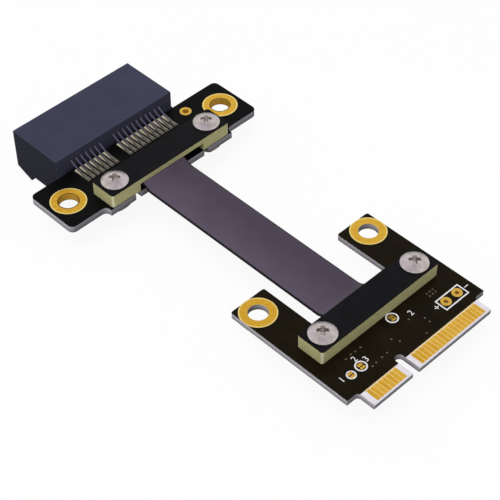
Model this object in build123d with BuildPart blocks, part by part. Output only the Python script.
from build123d import *
import os

os.makedirs("parts", exist_ok=True)

# Half-size mini card, width across X, tabs towards -Y
card_width = 30.0
card_body_length = 23.6
card_thickness = 1.0
tab_length = 3.2
tab_row_width = 25.6
key_centre_x = -3.9
key_width = 1.5
tab_root_radius = 0.6
tab_bevel = 0.12
ear_width = 6.95
ear_gap_depth = 11.2
card_corner_radius = 0.4
card_hole_inset = 2.9
card_hole_diameter = 3.2
card_ring_diameter = 6.0

# Gold fingers of the card edge
finger_pitch = 0.8
finger_width = 0.62
finger_length = 2.85
finger_tip_margin = 0.3
left_finger_count = 8
right_finger_count = 18
copper_height = 0.05

# Two-pin power header and solder test points on the card
header_centre_x = 10.57
header_from_root = 2.55
header_pitch = 2.54
header_pad_diameter = 1.75
header_hole_diameter = 0.9
test_pad_width = 0.9
test_pad_length = 1.1
test_pad_gap = 0.16
front_test_points = [(-11.09, 2.86), (-8.89, 2.99)]
bar_test_point_x = 1.17
bar_test_point_clearance = 0.48

# Board that carries the socket, across X
socket_board_width = 40.7
socket_board_thickness = 1.2
socket_ear_depth = 10.4
socket_ear_radius = 1.0
tongue_row_width = 26.5
tongue_length = 1.25
tongue_slit_width = 1.1
tongue_slit_spacing = 15.0
step_radius = 0.9
socket_hole_inset = 3.65
socket_hole_from_rear = 5.2
socket_hole_diameter = 3.6
socket_bore_diameter = 3.3
socket_ring_diameter = 6.0
ground_hole_x = 11.42
ground_hole_from_rear = 2.3
ground_pad_diameter = 2.0
ground_hole_diameter = 1.2
ground_bore_diameter = 1.0

# Clear distance between the two boards
board_spacing = 28.9

# Card-edge socket housing, mating slot towards +Y
housing_width = 25.0
housing_height = 7.5
housing_depth = 10.95
housing_centre_x = -1.9
board_stop_length = 0.4
board_stop_width = 1.6
slot_height = 1.8
slot_depth = 8.2
slot_end_margin = 0.95
slot_lead_in = 0.5
key_rib_width = 1.7
front_wall = 1.4
nose_lip = 0.9
ridge_height = 1.3
ridge_run = 3.5
ridge_width = 6.0

# Socket contacts, one row above and one row below the slot
contact_pitch = 1.0
left_contact_count = 7
right_contact_count = 11
key_gap_pitch = 3.0
contact_width = 0.3
contact_thickness = 0.2
contact_clearance = 0.06
contact_row_offset = 2.43
contact_base_length = 1.6
contact_tip_bite = 0.2
contact_tip_setback = 2.9
contact_tip_flare = 0.7
tail_rise_length = 2.9
tail_foot_length = 2.1
solder_pad_width = 0.62
solder_pad_length = 4.2
solder_pad_setback = 0.35

# Clamp bars that hold the ribbon down, one on each board
bar_length = 25.4
bar_depth = 5.1
bar_height = 2.4
bar_corner_radius = 0.5
socket_bar_setback = 0.1
card_bar_setback = 0.25
bar_foot_width = 5.8
bar_pocket_height = 1.45
bar_pocket_wall = 1.0
bar_hole_inset = 2.7
bolt_hole_diameter = 2.3

# Flat ribbon cable between the boards
ribbon_width = 9.0
ribbon_thickness = 0.5
ribbon_centre_x = -2.0
ribbon_rise = 0.25
ribbon_slope_length = 1.9
ribbon_bend_radius = 3.0
ribbon_grip_length = 2.2

# Flat conductors that leave each ribbon end and land on the board
conductor_count = 10
conductor_pitch = 0.8
conductor_width = 0.34
conductor_thickness = 0.12
conductor_exit = 0.5
conductor_drop_run = 0.9

# Pan-head machine screws and hexagon nuts
screw_length = 5.0
screw_diameter = 2.0
screw_head_diameter = 4.5
screw_head_top_diameter = 3.1
screw_head_side = 0.45
screw_head_height = 1.15
recess_span = 2.1
recess_arm_width = 0.55
recess_depth = 0.75
recess_turn = 45
nut_across_flats = 4.0
nut_height = 1.1
thread_clearance = 0.02

# Heights: the frame's floor is the lowest edge of the housing ridge
socket_mid_z = ridge_height + housing_height / 2
deck_z = socket_mid_z + socket_board_thickness / 2
card_bottom_z = deck_z - card_thickness
socket_board_bottom_z = deck_z - socket_board_thickness
bar_top_z = deck_z + bar_height

# Places along Y, from the card's tabs to the socket's mating face
board_part_length = tab_length + card_body_length + board_spacing + tongue_length + socket_ear_depth
overall_length = board_part_length + board_stop_length + housing_depth
tip_y = -overall_length / 2
card_root_y = tip_y + tab_length
card_rear_y = card_root_y + card_body_length
card_throat_y = card_rear_y - ear_gap_depth
socket_front_y = card_rear_y + board_spacing
socket_ear_front_y = socket_front_y + tongue_length
socket_rear_y = socket_ear_front_y + socket_ear_depth
housing_front_y = socket_rear_y + board_stop_length
housing_rear_y = housing_front_y + housing_depth
socket_bar_y = socket_front_y + socket_bar_setback + bar_depth / 2
card_bar_y = card_throat_y - card_bar_setback - bar_depth / 2
bar_test_point_y = card_bar_y - bar_depth / 2 - bar_test_point_clearance - test_pad_length / 2
bolt_x = bar_length / 2 - bar_hole_inset
socket_hole_x = socket_board_width / 2 - socket_hole_inset


def save(piece, name):
    piece.part.label = name
    export_step(piece.part, f"parts/{name}.step")


# Card board: two ears, a wide body and two tabs parted by the key notch
ear_gap_width = card_width - 2 * ear_width
with BuildPart() as card_board:
    with BuildSketch(Plane.XY.offset(card_bottom_z)):
        with Locations((0, card_root_y)):
            Rectangle(card_width, card_body_length, align=(Align.CENTER, Align.MIN))
        with Locations((0, card_rear_y - ear_gap_depth / 2)):
            Rectangle(ear_gap_width, ear_gap_depth, mode=Mode.SUBTRACT)
        with Locations((0, tip_y)):
            Rectangle(tab_row_width, tab_length, align=(Align.CENTER, Align.MIN))
        with Locations((key_centre_x, tip_y + tab_length / 2)):
            Rectangle(key_width, tab_length, mode=Mode.SUBTRACT)
        with Locations((key_centre_x, card_root_y)):
            Circle(key_width / 2, mode=Mode.SUBTRACT)
    extrude(amount=card_thickness)
    uprights = card_board.edges().filter_by(Axis.Z)
    shoulder_x = tab_row_width / 2
    tab_roots = uprights.filter_by(lambda e: abs(abs(e.center().X) - shoulder_x) < 0.01)
    fillet(tab_roots.group_by(Axis.Y)[-1], tab_root_radius)
    ear_corners = card_board.edges().filter_by(Axis.Z).group_by(Axis.Y)[-1]
    fillet(ear_corners, card_corner_radius)
    tips = card_board.faces().filter_by(Axis.Y).group_by(Axis.Y)[0]
    chamfer(tips.edges().filter_by(Axis.X), tab_bevel)
    with Locations(Plane.XY.offset(deck_z)):
        with Locations(
            (-card_width / 2 + card_hole_inset, card_rear_y - card_hole_inset),
            (card_width / 2 - card_hole_inset, card_rear_y - card_hole_inset),
        ):
            Hole(card_hole_diameter / 2, depth=card_thickness)
        with Locations((-bolt_x, card_bar_y), (bolt_x, card_bar_y)):
            Hole(bolt_hole_diameter / 2, depth=card_thickness)
        with Locations((header_centre_x, card_root_y + header_from_root)):
            with GridLocations(header_pitch, 0, 2, 1):
                Hole(header_hole_diameter / 2, depth=card_thickness)
save(card_board, "card_board")

# Solder ring on top of the card round each mounting hole, cut off by the ear's edges
for side, name in ((-1, "card_left_hole_rings"), (1, "card_right_hole_rings")):
    hole_x = side * (card_width / 2 - card_hole_inset)
    with BuildPart() as ring:
        with BuildSketch(Plane.XY.offset(deck_z)):
            with Locations((hole_x, card_rear_y - card_hole_inset)):
                Circle(card_ring_diameter / 2)
                Circle(card_hole_diameter / 2, mode=Mode.SUBTRACT)
            with Locations((0, card_rear_y - card_body_length / 2)):
                Rectangle(card_width, card_body_length, mode=Mode.INTERSECT)
        extrude(amount=copper_height)
    save(ring, name)

# Gold fingers, the same on both faces of the tabs
left_tab_x = (-tab_row_width / 2 + key_centre_x - key_width / 2) / 2
right_tab_x = (tab_row_width / 2 + key_centre_x + key_width / 2) / 2
finger_y = tip_y + finger_tip_margin + finger_length / 2
for finger_z, name in ((deck_z, "card_fingers_top"), (card_bottom_z - copper_height, "card_fingers_bottom")):
    with BuildPart() as fingers:
        with BuildSketch(Plane.XY.offset(finger_z)):
            with Locations((left_tab_x, finger_y)):
                with GridLocations(finger_pitch, 0, left_finger_count, 1):
                    Rectangle(finger_width, finger_length)
            with Locations((right_tab_x, finger_y)):
                with GridLocations(finger_pitch, 0, right_finger_count, 1):
                    Rectangle(finger_width, finger_length)
        extrude(amount=copper_height)
    save(fingers, name)

# Copper on the card's top: rings of the header holes and split test points
with BuildPart() as card_pads:
    with BuildSketch(Plane.XY.offset(deck_z)):
        with Locations((header_centre_x, card_root_y + header_from_root)):
            with GridLocations(header_pitch, 0, 2, 1):
                Circle(header_pad_diameter / 2)
                Circle(header_hole_diameter / 2, mode=Mode.SUBTRACT)
        test_points = [(place_x, card_root_y + from_root) for place_x, from_root in front_test_points]
        for place in test_points + [(bar_test_point_x, bar_test_point_y)]:
            with Locations(place):
                Rectangle(test_pad_width, test_pad_length)
                Rectangle(test_pad_width, test_pad_gap, mode=Mode.SUBTRACT)
    extrude(amount=copper_height)
save(card_pads, "card_pads")

# Socket board: ears with rounded corners and three short tongues along the front
with BuildPart() as socket_board:
    with BuildSketch(Plane.XY.offset(socket_board_bottom_z)):
        with Locations((0, socket_ear_front_y)):
            Rectangle(socket_board_width, socket_ear_depth, align=(Align.CENTER, Align.MIN))
        with Locations((0, socket_front_y + tongue_length / 2)):
            Rectangle(tongue_row_width, tongue_length)
            with GridLocations(tongue_slit_spacing, 0, 2, 1):
                Rectangle(tongue_slit_width, tongue_length, mode=Mode.SUBTRACT)
    extrude(amount=socket_board_thickness)
    uprights = socket_board.edges().filter_by(Axis.Z)
    ear_corners = uprights.filter_by(lambda e: abs(abs(e.center().X) - socket_board_width / 2) < 0.01)
    fillet(ear_corners, socket_ear_radius)
    uprights = socket_board.edges().filter_by(Axis.Z)
    tongue_ends = uprights.filter_by(lambda e: abs(abs(e.center().X) - tongue_row_width / 2) < 0.01)
    fillet(tongue_ends.group_by(Axis.Y)[-1], step_radius)
    with Locations(Plane.XY.offset(deck_z)):
        with Locations((0, socket_rear_y - socket_hole_from_rear)):
            with GridLocations(2 * socket_hole_x, 0, 2, 1):
                Hole(socket_hole_diameter / 2, depth=socket_board_thickness)
        with Locations((-bolt_x, socket_bar_y), (bolt_x, socket_bar_y)):
            Hole(bolt_hole_diameter / 2, depth=socket_board_thickness)
        with Locations((ground_hole_x, socket_rear_y - ground_hole_from_rear)):
            Hole(ground_hole_diameter / 2, depth=socket_board_thickness)
save(socket_board, "socket_board")


def plated_hole(name, place_x, place_y, pad_diameter, hole_diameter, bore_diameter):
    # Copper barrel through the board with a flat ring on top
    with BuildPart() as plating:
        with BuildSketch(Plane.XY.offset(deck_z)):
            with Locations((place_x, place_y)):
                Circle(pad_diameter / 2)
                Circle(bore_diameter / 2, mode=Mode.SUBTRACT)
        extrude(amount=copper_height)
        with BuildSketch(Plane.XY.offset(deck_z)):
            with Locations((place_x, place_y)):
                Circle(hole_diameter / 2)
                Circle(bore_diameter / 2, mode=Mode.SUBTRACT)
        extrude(amount=-socket_board_thickness)
    save(plating, name)


for side, name in ((-1, "socket_board_left_hole_plating"), (1, "socket_board_right_hole_plating")):
    plated_hole(
        name,
        side * socket_hole_x,
        socket_rear_y - socket_hole_from_rear,
        socket_ring_diameter,
        socket_hole_diameter,
        socket_bore_diameter,
    )
plated_hole(
    "socket_board_ground_hole_plating",
    ground_hole_x,
    socket_rear_y - ground_hole_from_rear,
    ground_pad_diameter,
    ground_hole_diameter,
    ground_bore_diameter,
)

# Contact places across the socket: seven, the key gap, then eleven
contact_row_width = (left_contact_count + right_contact_count - 2) * contact_pitch + key_gap_pitch
first_contact_x = housing_centre_x - contact_row_width / 2
left_contact_x = [first_contact_x + i * contact_pitch for i in range(left_contact_count)]
right_start_x = left_contact_x[-1] + key_gap_pitch
contact_x = left_contact_x + [right_start_x + i * contact_pitch for i in range(right_contact_count)]
key_rib_x = left_contact_x[-1] + key_gap_pitch / 2

# Solder pads under the contact tails on both faces
pad_y = socket_rear_y - solder_pad_setback - solder_pad_length / 2
with BuildPart() as socket_board_pads:
    with BuildSketch(Plane.XY.offset(deck_z)):
        with Locations([(x, pad_y) for x in contact_x]):
            Rectangle(solder_pad_width, solder_pad_length)
    extrude(amount=copper_height)
    with BuildSketch(Plane.XY.offset(socket_board_bottom_z)):
        with Locations([(x, pad_y) for x in contact_x]):
            Rectangle(solder_pad_width, solder_pad_length)
    extrude(amount=-copper_height)
save(socket_board_pads, "socket_board_pads")

# Housing: solid block with a keyed slot, a cavity for each contact and a snap ridge below
slot_x_low = contact_x[0] - slot_end_margin
slot_x_high = contact_x[-1] + slot_end_margin
slot_width = slot_x_high - slot_x_low
slot_centre_x = (slot_x_low + slot_x_high) / 2
cavity_width = contact_width + 2 * contact_clearance
cavity_top = contact_row_offset + contact_thickness / 2
cavity_length = housing_depth - front_wall - nose_lip
tunnel_height = contact_thickness + contact_clearance
with BuildPart() as socket_housing:
    with BuildSketch(Plane.XZ.offset(-housing_front_y)):
        with Locations((housing_centre_x, socket_mid_z)):
            Rectangle(housing_width, housing_height)
    extrude(amount=-housing_depth)
    with BuildSketch(Plane.XZ.offset(-housing_rear_y)):
        with Locations((slot_centre_x, socket_mid_z)):
            Rectangle(slot_width, slot_height)
        with Locations((key_rib_x, socket_mid_z)):
            Rectangle(key_rib_width, slot_height, mode=Mode.SUBTRACT)
    extrude(amount=slot_depth, mode=Mode.SUBTRACT)
    mouth = socket_housing.faces().filter_by(Axis.Y).sort_by(Axis.Y)[-1]
    chamfer(mouth.inner_wires().edges(), slot_lead_in)
    for row in (1, -1):
        cavity_low = slot_height / 4
        with BuildSketch(Plane.XZ.offset(-(housing_front_y + front_wall))):
            with Locations([(x, socket_mid_z + row * (cavity_low + cavity_top) / 2) for x in contact_x]):
                Rectangle(cavity_width, cavity_top - cavity_low)
        extrude(amount=-cavity_length, mode=Mode.SUBTRACT)
        with BuildSketch(Plane.XZ.offset(-housing_front_y)):
            with Locations([(x, socket_mid_z + row * (cavity_top - tunnel_height / 2)) for x in contact_x]):
                Rectangle(cavity_width, tunnel_height)
        extrude(amount=-front_wall, mode=Mode.SUBTRACT)
    stop_x = housing_width / 2 - board_stop_width / 2
    with BuildSketch(Plane.XZ.offset(-housing_front_y)):
        with Locations((housing_centre_x - stop_x, socket_mid_z), (housing_centre_x + stop_x, socket_mid_z)):
            Rectangle(board_stop_width, socket_board_thickness)
    extrude(amount=board_stop_length)
    ridge_left_x = housing_centre_x - housing_width / 2
    housing_floor_z = socket_mid_z - housing_height / 2
    with BuildSketch(Plane.YZ.offset(ridge_left_x)):
        with BuildLine():
            Polyline(
                (housing_rear_y, housing_floor_z),
                (housing_rear_y - ridge_run, housing_floor_z - ridge_height),
                (housing_rear_y - ridge_run, housing_floor_z),
                close=True,
            )
        make_face()
    extrude(amount=ridge_width)
save(socket_housing, "socket_housing")

# One stamped contact: solder foot, sloping tail, base in the housing wall and a sprung tip
foot_offset = socket_board_thickness / 2 + copper_height
row_offset = contact_row_offset - contact_thickness / 2
tip_offset = slot_height / 2 - contact_tip_bite
base_end_y = housing_front_y + front_wall + contact_base_length
spring_tip_y = housing_rear_y - contact_tip_setback
flare_end_y = spring_tip_y + 2 * contact_tip_flare
tail_landing_y = housing_front_y - tail_rise_length
for row, row_name, outside in ((1, "upper", Side.LEFT), (-1, "lower", Side.RIGHT)):
    for number, place_x in enumerate(contact_x, start=1):
        with BuildPart() as contact:
            with BuildSketch(Plane.YZ.offset(place_x)):
                with BuildLine():
                    Polyline(
                        (tail_landing_y - tail_foot_length, socket_mid_z + row * foot_offset),
                        (tail_landing_y, socket_mid_z + row * foot_offset),
                        (housing_front_y, socket_mid_z + row * row_offset),
                        (base_end_y, socket_mid_z + row * row_offset),
                        (spring_tip_y, socket_mid_z + row * tip_offset),
                        (flare_end_y, socket_mid_z + row * (tip_offset + contact_tip_flare)),
                    )
                    offset(amount=contact_thickness, side=outside, kind=Kind.INTERSECTION)
                make_face()
            extrude(amount=contact_width / 2, both=True)
        save(contact, f"{row_name}_contact_{number:02d}")


def clamp_bar(name, centre_y, cable_side):
    # Laminate bar with two feet and a pocket that opens towards the ribbon
    with BuildPart() as bar:
        with BuildSketch(Plane.XY.offset(deck_z)):
            with Locations((0, centre_y)):
                RectangleRounded(bar_length, bar_depth, bar_corner_radius)
        extrude(amount=bar_height)
        pocket_depth = bar_depth - bar_pocket_wall
        pocket_y = centre_y + cable_side * (bar_depth - pocket_depth) / 2
        with BuildSketch(Plane.XY.offset(deck_z)):
            with Locations((0, pocket_y)):
                Rectangle(bar_length - 2 * bar_foot_width, pocket_depth)
        extrude(amount=bar_pocket_height, mode=Mode.SUBTRACT)
        with Locations(Plane.XY.offset(bar_top_z)):
            with Locations((-bolt_x, centre_y), (bolt_x, centre_y)):
                Hole(bolt_hole_diameter / 2, depth=bar_height)
    save(bar, name)


clamp_bar("socket_clamp_bar", socket_bar_y, -1)
clamp_bar("card_clamp_bar", card_bar_y, 1)

# Ribbon: held up against each bar's pocket, lower and straight between the boards
ribbon_high_z = deck_z + bar_pocket_height - ribbon_thickness / 2
ribbon_low_z = deck_z + ribbon_rise + ribbon_thickness / 2
socket_bar_face_y = socket_bar_y - bar_depth / 2
card_bar_face_y = card_bar_y + bar_depth / 2
card_ribbon_end_y = card_bar_face_y - ribbon_grip_length
socket_ribbon_end_y = socket_bar_face_y + ribbon_grip_length
with BuildPart() as ribbon_cable:
    with BuildSketch(Plane.YZ.offset(ribbon_centre_x)):
        with BuildLine():
            FilletPolyline(
                (card_ribbon_end_y, ribbon_high_z),
                (card_bar_face_y, ribbon_high_z),
                (card_bar_face_y + ribbon_slope_length, ribbon_low_z),
                (socket_bar_face_y - ribbon_slope_length, ribbon_low_z),
                (socket_bar_face_y, ribbon_high_z),
                (socket_ribbon_end_y, ribbon_high_z),
                radius=ribbon_bend_radius,
            )
        trace(line_width=ribbon_thickness)
    extrude(amount=ribbon_width / 2, both=True)
save(ribbon_cable, "ribbon_cable")

# Conductors that step down from each ribbon end to the boards, hidden under the bars
conductor_reach = conductor_exit + conductor_drop_run
conductor_high_z = ribbon_high_z - conductor_thickness / 2
conductor_x = [
    ribbon_centre_x + (i - (conductor_count - 1) / 2) * conductor_pitch for i in range(conductor_count)
]
with BuildPart() as cable_conductors:
    for end_y, way, upper_side in ((socket_ribbon_end_y, 1, Side.LEFT), (card_ribbon_end_y, -1, Side.RIGHT)):
        for place_x in conductor_x:
            with BuildSketch(Plane.YZ.offset(place_x)):
                with BuildLine():
                    Polyline(
                        (end_y, conductor_high_z),
                        (end_y + way * conductor_exit, conductor_high_z),
                        (end_y + way * conductor_reach, deck_z),
                    )
                    offset(amount=conductor_thickness, side=upper_side, kind=Kind.INTERSECTION)
                make_face()
            extrude(amount=conductor_width / 2, both=True)
save(cable_conductors, "cable_conductors")

# Screws: pan head with a cross recess, plain shank. Nuts: plain hexagons under the boards
bolt_places = (
    ("socket_bar_left", -bolt_x, socket_bar_y, socket_board_bottom_z),
    ("socket_bar_right", bolt_x, socket_bar_y, socket_board_bottom_z),
    ("card_bar_left", -bolt_x, card_bar_y, card_bottom_z),
    ("card_bar_right", bolt_x, card_bar_y, card_bottom_z),
)
head_radius = screw_head_diameter / 2
head_fall = screw_head_height - screw_head_side
head_run_in = (screw_head_diameter - screw_head_top_diameter) / 2
shank_radius = screw_diameter / 2
for place_name, place_x, place_y, board_bottom_z in bolt_places:
    with BuildPart() as screw:
        with BuildSketch(Plane.XY.offset(bar_top_z)):
            with Locations((place_x, place_y)):
                Circle(shank_radius)
        extrude(amount=-screw_length)
        with BuildSketch(Plane.XY.offset(bar_top_z)):
            with Locations((place_x, place_y)):
                Circle(head_radius)
        extrude(amount=screw_head_height)
        head_rim = screw.edges().group_by(Axis.Z)[-1]
        head_side_face = screw.faces().filter_by(GeomType.CYLINDER).sort_by(Axis.Z)[-1]
        chamfer(head_rim, head_fall, head_run_in, reference=head_side_face)
        with BuildSketch(Plane.XY.offset(bar_top_z + screw_head_height)):
            with Locations((place_x, place_y)):
                Rectangle(recess_span, recess_arm_width, rotation=recess_turn)
                Rectangle(recess_arm_width, recess_span, rotation=recess_turn)
        extrude(amount=-recess_depth, mode=Mode.SUBTRACT)
    save(screw, f"{place_name}_screw")

    with BuildPart() as nut:
        with BuildSketch(Plane.XY.offset(board_bottom_z)):
            with Locations((place_x, place_y)):
                RegularPolygon(nut_across_flats / 2, 6, major_radius=False)
                Circle(shank_radius + thread_clearance, mode=Mode.SUBTRACT)
        extrude(amount=-nut_height)
    save(nut, f"{place_name}_nut")
